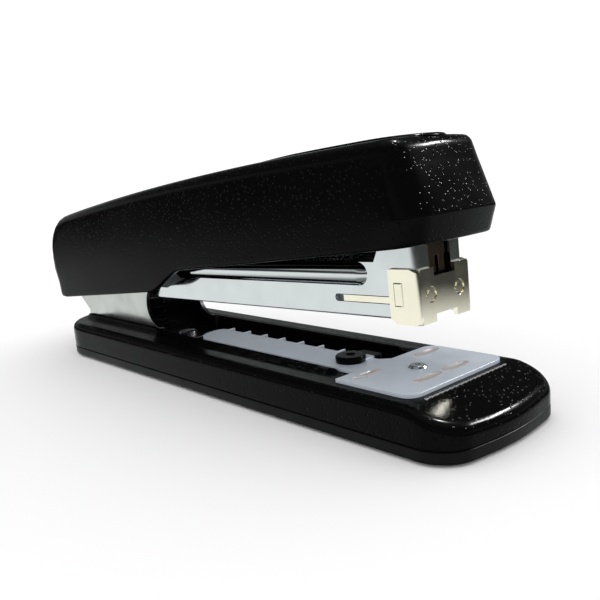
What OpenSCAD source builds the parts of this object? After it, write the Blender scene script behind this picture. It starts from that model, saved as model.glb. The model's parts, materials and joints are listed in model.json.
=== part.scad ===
// Desk stapler: a moulded base with an anvil and a depth scale, a steel magazine that closes on the
// anvil, and a long covered handle that drives the staple.
// X runs towards the stapling end, Y to the far side and Z up from the desk. Everything that swings turns
// about one pin at the back, and the magazine's and the handle's lengths are measured from that pin.

/* [Base] */
// Length of the base
base_len = 156.5; // [150:0.5:160]
// Width of the base
base_w = 38; // [36:0.5:42]
// Height of the flat rims above the desk
rim_h = 10.2; // [10:0.1:11]
// Height of the bottom tray, up to the parting line
tray_h = 3; // [2.6:0.1:3.4]
// Corner radius at the rear of the base
rear_corner_r = 15; // [12:0.5:17]
// Corner radius at the nose of the base
nose_corner_r = 8; // [6:0.5:10]
// Half width of the trough between the rims
trough_half_w = 10; // [9.8:0.1:10.2]
// Height of the trough floor above the desk
trough_floor_h = 6; // [5.8:0.1:6.4]

/* [Anvil] */
// Length of the anvil plate along X
anvil_len = 19.5; // [18:0.1:21]
// Width of the anvil plate
anvil_w = 30.6; // [29:0.1:32]
// Thickness of the anvil sheet
anvil_t = 0.8; // [0.7:0.05:0.9]
// Distance between the ticks of the depth scale
tick_pitch = 7.03; // [6.8:0.01:7.1]

/* [Depth stop] */
// Diameter of the round stop
stop_d = 6.7; // [6:0.1:7]
// Height of the round stop
stop_h = 1.5; // [1.2:0.05:1.55]

/* [Magazine] */
// Outside width of the magazine channel
channel_w = 14.8; // [14.6:0.1:15]
// Sheet thickness of the channel and of the head
channel_t = 0.9; // [0.8:0.05:0.95]
// Outside width of a staple crown
crown_w = 12.7; // [12.6:0.05:12.75]
// Tilt of the magazine at rest, in degrees
magazine_tilt = 2.13; // [2:0.01:2.3]

/* [Handle] */
// Width of the handle cover
cover_w = 28.6; // [28:0.1:30]
// Wall thickness of the handle cover
cover_t = 1.8; // [1.5:0.1:2]
// Tilt of the handle at rest, in degrees
handle_tilt = 6.2; // [6.1:0.01:6.3]

/* [Pivot] */
// Radius of the pivot pin
pin_r = 2.5; // [2.3:0.05:2.6]
// Radial clearance of what turns on the pin
running_fit = 0.05; // [0.03:0.01:0.08]

/* [Hidden] */
$fn = 48;

eps = 0.01;
// Overshoot of a cutter past the faces that it cuts
past = 1;

// Places along X: the base reaches from base_x0 to nose_x, and the handle as far behind the middle
nose_x = 85;
base_x0 = nose_x - base_len;
anvil_x = 63;
pivot_x = -68;
pivot_z = 28;

// Base
half_w = base_w / 2;
nose_edge_x = anvil_x + 11.1;
nose_front_z = 7.2;
nose_bow_r = 60;
edge_r = 2;
level_t = 0.1;
lip_h = rim_h + anvil_t;
lip_slope_w = 3.4;
lip_flat = 0.4;
lip_rear_r = 9.4;
lip_front_r = 1;
lip_root = 0.5;
trough_x0 = pivot_x + 0.3;
trough_rear_r = 2.5;
trough_x1 = anvil_x - 8;
trough_corner_r = 5;
lip_x1 = anvil_x - 13;
shell_t = 2.2;
trough_wall_t = 1.4;
pad_proud = 0.5;
pad_inset = 1.6;
pad_t = 1.4;
screw_r = 1.4;
screw_head_r = 2.6;
screw_head_h = 1;
tray_screw_x = [base_x0 + 13, 15, nose_x - 14];
tray_screw_y = 14.5;

// Frame with the two ears
ear_out = 9.5;
frame_t = 1.2;
ear_r = 8.5;
ear_notch = [44.9, -10.7];
ear_notch_r = 6;
frame_x0 = pivot_x + 1.3;
frame_x1 = pivot_x + 47;
frame_tongue_half_w = 7;
ear_crown = [[frame_x1 - pivot_x, -16.6], [42, -4.6], [34, 1], [14, 7]];
ear_back = [[-6.8, -9.5], [frame_x0 - pivot_x, -15.6]];
frame_screw_x = [pivot_x + 6, pivot_x + 44];

// Anvil
plate_corner_r = 3;
tail_near = -9.5;
tail_far = 0;
tail_x0 = anvil_x - 69;
tail_near_r = 6;
tail_far_r = 2;
tick_count = 7;
tick_x1 = anvil_x - 24;
tick_len = 2;
tick_w = 0.5;
groove_depth = 0.5;
groove_ring_r = 16.9;
groove_tube_r = 2.2;
clinch_x = anvil_x + 5;
clinch_y = 4.45;
pin_groove_x = anvil_x - 6.45;
pin_groove_y = 9.7;
rivet_x = anvil_x - 1.1;
rivet_r = 2.1;
rivet_h = 0.5;

// Depth stop, at its most forward place
stop_x = anvil_x - 15.9;
stop_y = -4.4;
stop_gap = 0.06;
clip_t = 0.45;
clip_len = 5.4;
clip_far = 2.6;
clip_near = -7.6;
clip_peg_r = 1;

// Magazine, in its own frame: lengths from the pin, heights from the channel's underside
mag_z0 = -10.17;
chan_in = channel_w / 2 - channel_t;
head_x = 137.7;
flange_x = head_x - 2 * channel_t;
wall_rear_x = 47.8;
wall_rear_h = 3.1;
bead_x0 = 58.1;
bead_z0 = 6.3;
bead_h = 4.8;
bead_r = 3;
bead_out = 1.2;
bead_x1 = 125;
tower_x = 125.4;
tower_h = 17;
flange_gap = 3.4;
slot_x0 = 115.5;
slot_z0 = 2.8;
slot_h = 1.6;
lug_x1 = 22;
lug_r = 6;
rail_x0 = 62;
rail_x1 = 134.2;
rail_w = 11.3;
rail_h = 7.1;
rail_t = 0.8;
rail_rivet_x = [70, 100];
head_wing_x = 130.5;
head_top = 9.9;
head_leg = 0.8;
head_notch_w = 3.3;
head_notch_h = 1.7;
leg_notch_h = 1.5;
dimple_y = 4.4;
dimple_z = 4.6;
dimple_r = 1.6;
tongue_x0 = 117.2;
tongue_t = 0.75;
rod_r = 1.2;
rod_z = 9.7;
rear_bracket_x = 60;
front_bracket_x = 128.2;
bracket_t = 1.2;
bracket_z0 = 8.6;
bracket_top = 11.6;
pusher_x1 = 134;
pusher_body_x0 = 119;
pusher_body_x1 = 127.6;
nose_top = 8.2;
body_top = 11.4;
pusher_half_w = 6.2;

// Handle, in its own frame: lengths and heights from the pin
cover_half = cover_w / 2;
cover_rear = -16.87;
cover_front = 144.2;
cover_low = -10.6;
cover_high = -5.5;
cover_top_x0 = 8;
back_low_arc = [-9.5, 6.2];
back_top_arc = [-0.87, 0.7, 16];
window_half = 11.5;
window_x1 = -10;
window_top = 2;
step_x0 = 48;
step_x1 = 66;
top_peak_x = 50;
top_peak_z = 17.7;
top_arc_r = 1315;
crease_z = -0.3;
front_low_x = 142;
front_top_x = 140.4;
front_top_z = 11;
cover_corner_rear = 8;
cover_corner_front = 6;
cover_bow_r = 70;
cover_screw_x = [24, 104];
inlay_x0 = 90;
inlay_x1 = 139.7;
inlay_half = 9;
inlay_deep = 0.8;
inlay_high = 1.1;
inlay_ramp = 40;
inlay_lap = 0.05;
inlay_fall = 0.7;
fr_out = 11;
fr_t = 1.2;
fr_top = 10.2;
fr_x0 = -8;
fr_x1 = 136;
fr_front_low = -4;
fr_rear_low = -9;
fr_step_x = 52;
spring_root_x = 84;
spring_half_w = 3.5;
spring_t = 0.5;
spring_tip_x = 129;
spring_tip_z = -6.1;
spring_flat = 7;

// Driver, in a frame of its own that leans with the blade
blade_lean = 2.5;
blade_x = 134.65;
blade_z0 = -12.3;
blade_t = 0.7;
blade_half = crown_w / 2 - 0.05;
blade_h = 21.2;
blade_shoulder_h = 14;
blade_neck = 5.8;
holder_t = 1.4;
holder_z0 = 15.5;
holder_rivet_x = 129.6;
driver_rivet_y = 3.6;
blade_rivet_y = 1.7;
driver_rivet_z = 18;
driver_rivet_r = 1.2;
blade_rivet_head_r = 1.6;

// ---------------------------------------------------------------- helpers

// Points on an arc from angle a0 to angle a1
function arc(cx, cy, r, a0, a1, n) =
    [for (i = [0:n]) [cx + r * cos(a0 + (a1 - a0) * i / n), cy + r * sin(a0 + (a1 - a0) * i / n)]];

// Half of a plan with a round corner at each end, its front bowed outwards by a large radius
function half_plan(x0, x1, hw, r0, r1, bow) =
    let (dip = bow - sqrt(bow * bow - pow(hw - r1, 2)))
    concat(
        arc(x0 + r0, -(hw - r0), r0, 180, 270, 12),
        arc(x1 - dip - r1, -(hw - r1), r1, 270, 355, 10),
        [for (i = [1:4]) let (y = -(hw - r1) * (1 - i / 4)) [x1 - bow + sqrt(bow * bow - y * y), y]]
    );

// A rectangle with one radius at its rear corners and another at its front corners
function round_rect(x0, x1, hw, r0, r1) =
    concat(
        arc(x0 + r0, -hw + r0, r0, 180, 270, 8),
        arc(x1 - r1, -hw + r1, r1, 270, 360, 6),
        arc(x1 - r1, hw - r1, r1, 0, 90, 6),
        arc(x0 + r0, hw - r0, r0, 90, 180, 8)
    );

// The whole plan: the half and its mirror image
function plan(x0, x1, hw, r0, r1, bow) =
    let (h = half_plan(x0, x1, hw, r0, r1, bow))
    concat(h, [for (i = [len(h) - 2:-1:0]) [h[i][0], -h[i][1]]]);

// Height of the cover's top at a length along the handle
function cover_top(x) =
    top_peak_z - top_arc_r + sqrt(top_arc_r * top_arc_r - pow(x - top_peak_x, 2));

// Smooth step from 0 to 1
function smooth(t) = t * t * (3 - 2 * t);

// A wire of radius r wound round the Z axis: points and faces of a swept tube
function coil_centre(i, per_turn, turns, h, r) =
    let (a = 360 * i / per_turn, f = i / (per_turn * turns)) [r * cos(a), r * sin(a), h * f];
function coil_points(turns, h, r, wire, per_turn, sides) =
    [for (i = [0:turns * per_turn]) for (j = [0:sides - 1])
        let (c = coil_centre(i, per_turn, turns, h, r), a = 360 * i / per_turn, b = 360 * j / sides)
        [c[0] + wire * cos(b) * cos(a), c[1] + wire * cos(b) * sin(a), c[2] + wire * sin(b)]];
function coil_faces(rings, sides) =
    concat(
        [[for (j = [0:sides - 1]) j]],
        [for (i = [0:rings - 2]) for (j = [0:sides - 1])
            [i * sides + j, (i + 1) * sides + j, (i + 1) * sides + (j + 1) % sides]],
        [for (i = [0:rings - 2]) for (j = [0:sides - 1])
            [i * sides + j, (i + 1) * sides + (j + 1) % sides, i * sides + (j + 1) % sides]],
        [[for (j = [sides - 1:-1:0]) (rings - 1) * sides + j]]
    );

// A close spring along Z
module coil(turns, h, r, wire, per_turn = 16, sides = 6) {
    polyhedron(
        coil_points(turns, h, r, wire, per_turn, sides),
        coil_faces(turns * per_turn + 1, sides),
        convexity = 10
    );
}

// An outline in X and Z, extruded along Y from y0 over the width w
module along_y(y0, w) {
    translate([0, y0 + w, 0]) rotate([90, 0, 0]) linear_extrude(w) children();
}

// An outline in Y and Z, extruded along X from x0 over the length l
module along_x(x0, l) {
    translate([x0, 0, 0]) rotate([90, 0, 90]) linear_extrude(l) children();
}

// A round bar along Y, centred on the middle plane
module cross_bar(x, z, r, w) {
    translate([x, 0, z]) rotate([90, 0, 0]) cylinder(r = r, h = w, center = true);
}

// The same thing on both sides
module both_sides() {
    children();
    mirror([0, 1, 0]) children();
}

// The frame of a body that swings about the pin, at its rest tilt
module at_tilt(angle) {
    translate([pivot_x, 0, pivot_z]) rotate([0, -angle, 0]) children();
}

module magazine_frame() {
    at_tilt(magazine_tilt) translate([0, 0, mag_z0]) children();
}

module handle_axes() {
    at_tilt(handle_tilt) children();
}

// The frame of the driver: its lower edge at the origin, leaning with the blade
module driver_frame() {
    handle_axes() translate([blade_x, 0, blade_z0]) rotate([0, blade_lean, 0]) children();
}

// ---------------------------------------------------------------- base

// One level of the base's outer form
module base_level(z, inset, front_x) {
    translate([0, 0, z]) linear_extrude(level_t)
        polygon(plan(base_x0 + inset, front_x, half_w - inset,
            rear_corner_r - inset, nose_corner_r, nose_bow_r));
}

// Where the sloping nose lies at a height
function nose_slope_x(z) = nose_edge_x + (rim_h - z) * (nose_x - 1 - nose_edge_x) / (rim_h - nose_front_z);

// The solid form of the base: upright sides, rounded upper edges and a nose that slopes down
module base_form() {
    hull() {
        base_level(tray_h, 0, nose_x);
        base_level(nose_front_z - 0.9, 0, nose_x);
        base_level(nose_front_z - level_t, 0, nose_x - 1);
        for (a = [0:30:90])
            let (z = rim_h - level_t - edge_r + edge_r * sin(a))
            base_level(z, edge_r * (1 - cos(a)), nose_slope_x(z));
    }
}

// Plan of the trough between the lips, or of its wall when grown
module trough_plan(grow = 0) {
    polygon(round_rect(trough_x0 - grow, trough_x1 + grow, trough_half_w + grow,
        trough_rear_r + grow, trough_corner_r + grow));
}

// The raised lip round the trough, sloping down outwards
module lip() {
    hull() {
        translate([0, 0, rim_h - lip_root]) linear_extrude(anvil_t + lip_root)
            polygon(round_rect(trough_x0 - lip_flat, lip_x1 - 2, trough_half_w + lip_flat,
                trough_rear_r + lip_flat, lip_front_r));
        translate([0, 0, rim_h - lip_root]) linear_extrude(lip_root)
            polygon(round_rect(base_x0 + edge_r + 0.1, lip_x1, trough_half_w + lip_slope_w,
                lip_rear_r, lip_front_r));
    }
}

// Upper moulding of the base, hollow underneath, with the trough, the lip and the ledge of the scale
module base_shell() {
    color([0.03, 0.03, 0.032])
    difference() {
        union() {
            base_form();
            lip();
        }
        translate([0, 0, trough_floor_h]) linear_extrude(lip_h) trough_plan();
        // the hollow underneath, round the trough
        difference() {
            translate([0, 0, tray_h - past]) linear_extrude(rim_h - shell_t - tray_h + past)
                polygon(plan(base_x0 + shell_t, nose_edge_x + 1, half_w - shell_t,
                    rear_corner_r - shell_t, nose_corner_r, nose_bow_r));
            translate([0, 0, trough_floor_h - trough_wall_t]) linear_extrude(lip_h)
                trough_plan(trough_wall_t);
            tray_posts(screw_r + 1.8);
        }
        tray_posts(screw_r);
        for (x = frame_screw_x)
            translate([x, 0, 0]) cylinder(r = screw_r, h = lip_h);
        translate([rivet_x, 0, 0]) cylinder(r = rivet_r - 0.6, h = lip_h);
    }
    // ledge that carries the near edge of the scale
    color([0.03, 0.03, 0.032])
    translate([tail_x0 - 2, -trough_half_w - eps, trough_floor_h - eps])
        cube([trough_x1 - trough_corner_r - tail_x0 + 2, 1.5 + eps, rim_h - trough_floor_h + eps]);
}

// Posts, or the holes in them, for the screws of the tray
module tray_posts(r) {
    for (x = tray_screw_x)
        both_sides() translate([x, tray_screw_y, 0]) cylinder(r = r, h = rim_h - shell_t + 0.8);
}

// Under-tray that closes the base and holds the pad
module base_tray() {
    color([0.05, 0.05, 0.052])
    difference() {
        translate([0, 0, pad_proud]) linear_extrude(tray_h - pad_proud)
            polygon(plan(base_x0, nose_x, half_w, rear_corner_r, nose_corner_r, nose_bow_r));
        translate([0, 0, -past]) linear_extrude(pad_t + past) pad_plan();
        tray_posts(screw_r);
        for (x = tray_screw_x)
            both_sides() translate([x, tray_screw_y, 0])
                cylinder(r = screw_head_r, h = pad_t + screw_head_h);
    }
}

// Plan of the recess in the tray and of the pad in it
module pad_plan() {
    polygon(plan(base_x0 + pad_inset, nose_x - pad_inset, half_w - pad_inset,
        rear_corner_r - pad_inset, nose_corner_r - pad_inset, nose_bow_r));
}

// Rubber sole, proud of the tray
module anti_slip_pad() {
    color([0.09, 0.09, 0.09])
    linear_extrude(pad_t) pad_plan();
}

// Pan-head screws that hold the tray up against the shell
module tray_screws() {
    color([0.55, 0.56, 0.58])
    for (x = tray_screw_x)
        both_sides() translate([x, tray_screw_y, pad_t]) {
            difference() {
                cylinder(r = screw_head_r - 0.1, h = screw_head_h);
                translate([0, 0, -eps]) cylinder(r = 0.9, h = 0.6, $fn = 6);
            }
            translate([0, 0, screw_head_h - eps]) cylinder(r = screw_r, h = 5.4);
        }
}

// Outline of one ear, from the floor up to the round end at the pin
module ear_outline() {
    difference() {
        union() {
            circle(r = ear_r);
            polygon(concat(
                [[frame_x0 - pivot_x, trough_floor_h - pivot_z],
                 [frame_x1 - pivot_x, trough_floor_h - pivot_z]],
                ear_crown,
                [[0, ear_r], [-ear_r, 0]],
                ear_back
            ));
        }
        translate(ear_notch) circle(r = ear_notch_r);
        circle(r = pin_r);
    }
}

// Steel frame in the trough: a floor strip with two upright ears that carry the pin
module base_frame() {
    color([0.82, 0.83, 0.85])
    difference() {
        union() {
            both_sides()
                translate([pivot_x, 0, pivot_z]) along_y(ear_out - frame_t, frame_t) ear_outline();
            translate([frame_x0, -ear_out, trough_floor_h])
                cube([frame_x1 - frame_x0, 2 * ear_out, frame_t]);
            translate([frame_x1 - eps, -frame_tongue_half_w, trough_floor_h])
                cube([3 + eps, 2 * frame_tongue_half_w, frame_t]);
        }
        for (x = frame_screw_x)
            translate([x, 0, 0]) cylinder(r = screw_r, h = lip_h);
    }
}

// Flat-head screws that hold the frame down in the trough
module frame_screws() {
    color([0.6, 0.61, 0.63])
    for (x = frame_screw_x)
        translate([x, 0, trough_floor_h + frame_t]) {
            difference() {
                cylinder(r = screw_head_r, h = screw_head_h);
                translate([0, 0, screw_head_h - 0.5]) cube([0.7, 2 * screw_head_r, 1.2], center = true);
            }
            translate([0, 0, -frame_t - trough_wall_t])
                cylinder(r = screw_r, h = frame_t + trough_wall_t + eps);
        }
}

// ---------------------------------------------------------------- anvil and scale

// Outline of the plate with its tail
module anvil_outline() {
    x0 = anvil_x - anvil_len / 2;
    x1 = anvil_x + anvil_len / 2;
    y1 = anvil_w / 2;
    r = plate_corner_r;
    polygon(concat(
        [[x0, -y1]],
        arc(x1 - r, -y1 + r, r, 270, 360, 6),
        arc(x1 - r, y1 - r, r, 0, 90, 6),
        arc(x0 + r, y1 - r, r, 90, 180, 6),
        [[x0, tail_far + 1.8], [x0 - 2.2, tail_far]],
        arc(tail_x0 + tail_far_r, tail_far - tail_far_r, tail_far_r, 90, 180, 6),
        arc(tail_x0 + tail_near_r, tail_near + tail_near_r, tail_near_r, 180, 270, 4),
        [[x0 - 0.8, tail_near], [x0, tail_near - 0.8]]
    ));
}

// Lens-shaped groove that turns a staple leg over
module groove(x, y) {
    translate([x, y, rim_h + anvil_t - groove_depth + groove_ring_r + groove_tube_r])
        rotate([0, 90, 0]) rotate_extrude($fn = 96) translate([groove_ring_r, 0]) circle(r = groove_tube_r);
}

// Steel plate that turns the staple legs over, with the scale on its tail
module anvil_plate() {
    color([0.78, 0.8, 0.84])
    difference() {
        translate([0, 0, rim_h]) linear_extrude(anvil_t) union() {
            anvil_outline();
            for (i = [0:tick_count - 1])
                translate([tick_x1 - i * tick_pitch - tick_w / 2, tail_far - 0.5])
                    square([tick_w, tick_len + 0.5]);
        }
        for (side = [-1, 1]) {
            groove(clinch_x, side * clinch_y);
            groove(pin_groove_x, side * pin_groove_y);
        }
        translate([rivet_x, 0, 0]) cylinder(r = rivet_r - 0.6, h = lip_h + past);
    }
}

// Rivet through the plate and the roof of the base, with a dimpled head
module anvil_rivet() {
    color([0.85, 0.86, 0.88])
    translate([rivet_x, 0, 0])
    difference() {
        union() {
            translate([0, 0, lip_h]) cylinder(r1 = rivet_r, r2 = rivet_r - 0.5, h = rivet_h);
            translate([0, 0, rim_h - shell_t]) cylinder(r = rivet_r - 0.6, h = shell_t + anvil_t + eps);
            translate([0, 0, rim_h - shell_t - 0.6]) cylinder(r = rivet_r + 0.3, h = 0.6);
        }
        translate([0, 0, lip_h + rivet_h + 1.1]) sphere(r = 1.3);
    }
}

// ---------------------------------------------------------------- depth stop

// Round knob with a dished top, pushed along the scale by a fingertip
module depth_stop_knob() {
    color([0.04, 0.04, 0.04])
    translate([stop_x, stop_y, lip_h + stop_gap])
    difference() {
        rotate_extrude() polygon(concat(
            [[0, 0], [stop_d / 2 - 0.1, 0]],
            arc(stop_d / 2 - 0.5, stop_h - 0.5, 0.5, 0, 80, 5),
            [[0, stop_h]]
        ));
        translate([0, 0, stop_h + 1.9]) sphere(r = 2.3);
        // room for the clip's upper arm
        translate([-clip_len / 2, -past, -eps]) cube([clip_len, stop_d, clip_t + eps]);
        translate([0, 0, -eps]) cylinder(r = clip_peg_r, h = 1 + eps);
    }
}

// Spring clip that wraps round the far edge of the scale
module depth_stop_clip() {
    x0 = stop_x - clip_len / 2;
    z0 = rim_h - stop_gap - clip_t;
    z1 = lip_h + stop_gap;
    color([0.35, 0.36, 0.38]) {
        translate([x0, stop_y - past, z1]) cube([clip_len, clip_far - stop_y + past, clip_t]);
        translate([x0, clip_near, z0]) cube([clip_len, clip_far - clip_near, clip_t]);
        translate([x0, clip_far - clip_t, z0]) cube([clip_len, clip_t, z1 + clip_t - z0]);
        translate([stop_x, stop_y, z1]) cylinder(r = clip_peg_r, h = 1);
    }
}

// ---------------------------------------------------------------- pivot

// Pin through the frame's ears, the magazine and the handle's frame
module pivot_pin() {
    color([0.8, 0.81, 0.83])
    cross_bar(pivot_x, pivot_z, pin_r, 2 * (fr_out + 0.9));
}

// Push-on clips at the two ends of the pin
module pin_clips() {
    color([0.5, 0.51, 0.53])
    both_sides()
    translate([pivot_x, fr_out + 0.15, pivot_z]) rotate([-90, 0, 0])
    difference() {
        cylinder(r = pin_r + 1.5, h = 0.6);
        translate([0, 0, -eps]) cylinder(r = pin_r, h = 0.6 + 2 * eps);
    }
}

// Compression spring that lifts the magazine off the anvil
module return_spring() {
    color([0.7, 0.71, 0.73])
    translate([pivot_x + 27, 0, trough_floor_h + frame_t + 0.5])
        coil(turns = 5, h = 10.3, r = 3.2, wire = 0.45);
}

// ---------------------------------------------------------------- magazine

// Side outline of one channel wall
module wall_outline() {
    polygon([
        [0, 4], [lug_x1, 0], [flange_x + channel_t, 0], [flange_x + channel_t, tower_h],
        [tower_x + 4, tower_h], [tower_x + 0.9, bead_z0 + bead_h],
        [bead_x0 + 4, bead_z0 + bead_h], [bead_x0, bead_z0],
        [wall_rear_x, wall_rear_h], [wall_rear_x - 15, wall_rear_h], [lug_x1 + 4, -mag_z0 - 3], [0, -mag_z0]
    ]);
}

// Rolled bead that stiffens the top of a wall, with a round front end
module bead() {
    difference() {
        union() {
            along_x(bead_x0 + 4, bead_x1 - bead_r - bead_x0 - 4)
                translate([chan_in + channel_t + bead_out - bead_r, bead_z0 + bead_h / 2])
                    circle(r = bead_r);
            translate([bead_x1 - bead_r, chan_in + channel_t + bead_out - bead_r, bead_z0 + bead_h / 2])
                sphere(r = bead_r);
        }
        translate([0, -chan_in - channel_t, 0])
            cube([head_x, 2 * chan_in + 2 * channel_t - 0.2, 2 * tower_h]);
    }
}

// Channel that holds the staples, with its beaded walls and the guide of the driver at the front
module magazine_channel() {
    color([0.84, 0.86, 0.88])
    magazine_frame()
    difference() {
        union() {
            both_sides() {
                along_y(chan_in, channel_t) union() {
                    wall_outline();
                    translate([0, -mag_z0]) circle(r = lug_r);
                }
                bead();
                // front flange of the driver's guide
                translate([flange_x, flange_gap, 0]) cube([channel_t, chan_in - flange_gap + eps, tower_h]);
            }
            translate([lug_x1, -chan_in - eps, 0])
                cube([rail_x1 - lug_x1, 2 * chan_in + 2 * eps, channel_t]);
        }
        cross_bar(0, -mag_z0, pin_r + running_fit, channel_w + past);
        // slots for the tongues of the head
        translate([slot_x0, -channel_w, slot_z0]) cube([head_wing_x + 2 - slot_x0, 2 * channel_w, slot_h]);
        cross_bar(slot_x0, slot_z0 + slot_h / 2, slot_h / 2, 2 * channel_w);
        for (x = rail_rivet_x)
            translate([x, 0, -past]) cylinder(r = 1, h = channel_t + 2 * past);
    }
}

// Inner rail that the staples straddle
module staple_rail() {
    color([0.7, 0.72, 0.74])
    magazine_frame()
    translate([rail_x0, 0, channel_t])
    difference() {
        translate([0, -rail_w / 2, 0]) cube([rail_x1 - rail_x0, rail_w, rail_h - channel_t]);
        translate([-past, -rail_w / 2 + rail_t, rail_t])
            cube([rail_x1 - rail_x0 + 2 * past, rail_w - 2 * rail_t, rail_h - channel_t - 2 * rail_t]);
        // open underside, except for two strips that take the rivets
        for (span = [[-past, 5], [14, 18], [44, 30]])
            translate([span[0], -rail_w / 2 + rail_t, -past])
                cube([span[1], rail_w - 2 * rail_t, rail_t + 2 * past]);
        for (x = rail_rivet_x)
            translate([x - rail_x0, 0, -past]) cylinder(r = 1, h = rail_t + 2 * past);
    }
}

// Rivets that hold the rail down in the channel
module rail_rivets() {
    color([0.75, 0.76, 0.78])
    magazine_frame()
    for (x = rail_rivet_x)
        translate([x, 0, 0]) {
            translate([0, 0, -0.3]) cylinder(r = 1.9, h = 0.3);
            translate([0, 0, -eps]) cylinder(r = 1, h = channel_t + rail_t + 2 * eps);
            translate([0, 0, channel_t + rail_t]) cylinder(r = 1.8, h = 0.6);
        }
}

// Nickel head that wraps round the front of the channel
module staple_head() {
    half = channel_w / 2;
    color([0.83, 0.78, 0.68])
    magazine_frame() {
        difference() {
            union() {
                both_sides() along_y(half, channel_t) polygon([
                    [head_wing_x, 0.4], [head_wing_x + 1.4, -head_leg], [head_x, -head_leg],
                    [head_x, head_top - 0.8], [head_x - 1.4, head_top - 0.2], [head_x - 2, head_top],
                    [head_wing_x, head_top]
                ]);
                translate([head_x - channel_t, -half - eps, -head_leg])
                    cube([channel_t, 2 * half + 2 * eps, head_top - 0.2 + head_leg]);
            }
            translate([head_x - 2 * channel_t, -head_notch_w, head_top - head_notch_h - 0.2])
                cube([3 * channel_t, 2 * head_notch_w, 3]);
            translate([head_x - 2 * channel_t, -head_notch_w, -head_leg - past])
                cube([3 * channel_t, 2 * head_notch_w, leg_notch_h + past]);
            // dimples in the front face
            for (side = [-1, 1])
                translate([head_x - 0.35, side * dimple_y, dimple_z]) rotate([0, 90, 0])
                    difference() {
                        cylinder(r = dimple_r, h = 1);
                        translate([0, 0, -past]) cylinder(r = dimple_r - 0.55, h = 3);
                    }
        }
        // tongues that lie in the slots of the channel
        both_sides() {
            translate([tongue_x0, half - tongue_t, slot_z0 + 0.15])
                cube([head_wing_x + 1.5 - tongue_x0, tongue_t, slot_h - 0.3]);
            translate([head_wing_x + 0.2, half - tongue_t, slot_z0 + 0.15])
                cube([1.3, tongue_t + 0.4, slot_h - 0.3]);
        }
    }
}

// Rod that the pusher and its spring run on
module guide_rod() {
    color([0.72, 0.73, 0.75])
    magazine_frame()
    translate([rear_bracket_x - 0.8, 0, rod_z]) rotate([0, 90, 0])
        cylinder(r = rod_r, h = front_bracket_x + bracket_t - rear_bracket_x + 1.6);
}

// A cross plate inside the channel with a hole for the guide rod
module rod_bracket(x, z0, z1) {
    difference() {
        translate([x, -chan_in, z0]) cube([bracket_t, 2 * chan_in, z1 - z0]);
        translate([x - past, 0, rod_z]) rotate([0, 90, 0]) cylinder(r = rod_r, h = bracket_t + 2 * past);
    }
}

// Bracket on the channel's floor for the rear end of the rod
module rear_rod_bracket() {
    color([0.66, 0.67, 0.69])
    magazine_frame() {
        rod_bracket(rear_bracket_x, channel_t, rod_z + rod_r + 0.3);
        translate([rear_bracket_x - 6, -chan_in, channel_t]) cube([6 + eps, 2 * chan_in, 1]);
    }
}

// Bracket between the walls for the front end of the rod
module front_rod_bracket() {
    color([0.66, 0.67, 0.69])
    magazine_frame() {
        rod_bracket(front_bracket_x, bracket_z0, bracket_top);
        translate([front_bracket_x, -chan_in, bracket_top - eps]) cube([4.4, 2 * chan_in, 1]);
    }
}

// Pusher that keeps the strip of staples against the head
module staple_pusher() {
    gap = 0.15;
    color([0.06, 0.06, 0.065])
    magazine_frame()
    difference() {
        union() {
            translate([pusher_body_x0, -pusher_half_w, rail_h + gap])
                cube([pusher_body_x1 - pusher_body_x0, 2 * pusher_half_w, body_top - rail_h - gap]);
            translate([pusher_body_x0, -pusher_half_w, 1.4])
                cube([pusher_x1 - pusher_body_x0, 2 * pusher_half_w, nose_top - 1.4]);
        }
        translate([pusher_body_x0 - past, -rail_w / 2 - gap, 0])
            cube([pusher_x1 - pusher_body_x0 + 2 * past, rail_w + 2 * gap, rail_h + gap]);
        translate([pusher_body_x0 - past, 0, rod_z]) rotate([0, 90, 0]) cylinder(r = rod_r + 0.06, h = 20);
    }
}

// Spring on the rod that drives the pusher forwards
module pusher_spring() {
    color([0.74, 0.75, 0.77])
    magazine_frame()
    translate([rear_bracket_x + bracket_t + 0.3, 0, rod_z]) rotate([0, 90, 0])
        coil(turns = 20, h = pusher_body_x0 - rear_bracket_x - bracket_t - 0.6, r = 1.62, wire = 0.26,
            per_turn = 10, sides = 4);
}

// ---------------------------------------------------------------- handle

// Side outline of the cover: low at the back, stepped up towards the front
module cover_side(t = 0) {
    polygon(concat(
        // rear corner, back and top rear
        arc(back_low_arc[0], cover_low + back_low_arc[1], back_low_arc[1] - t, 262, 190, 6),
        arc(back_top_arc[0], back_top_arc[1], back_top_arc[2] - t, 180, 95, 10),
        // top
        [for (i = [0:12]) let (x = cover_top_x0 + i * (front_top_x - 4 - cover_top_x0) / 12)
            [x, cover_top(x) - t]],
        arc(front_top_x - 3.4, cover_top(front_top_x - 3.4) - 3.2, 3.2 - t, 80, 20, 5),
        // front
        [[front_top_x + 0.3 - t, front_top_z - 0.9], [cover_front - t, crease_z],
         [front_low_x - t, cover_high]],
        // underside with its step
        [for (i = [0:10]) let (u = 1 - i / 10)
            [step_x0 + (step_x1 - step_x0) * u, cover_low + (cover_high - cover_low) * smooth(u)]]
    ));
}

// Plan of the cover
module cover_plan(t = 0) {
    polygon(plan(cover_rear + t, cover_front - t, cover_half - t,
        cover_corner_rear - t, cover_corner_front - t, cover_bow_r));
}

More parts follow.
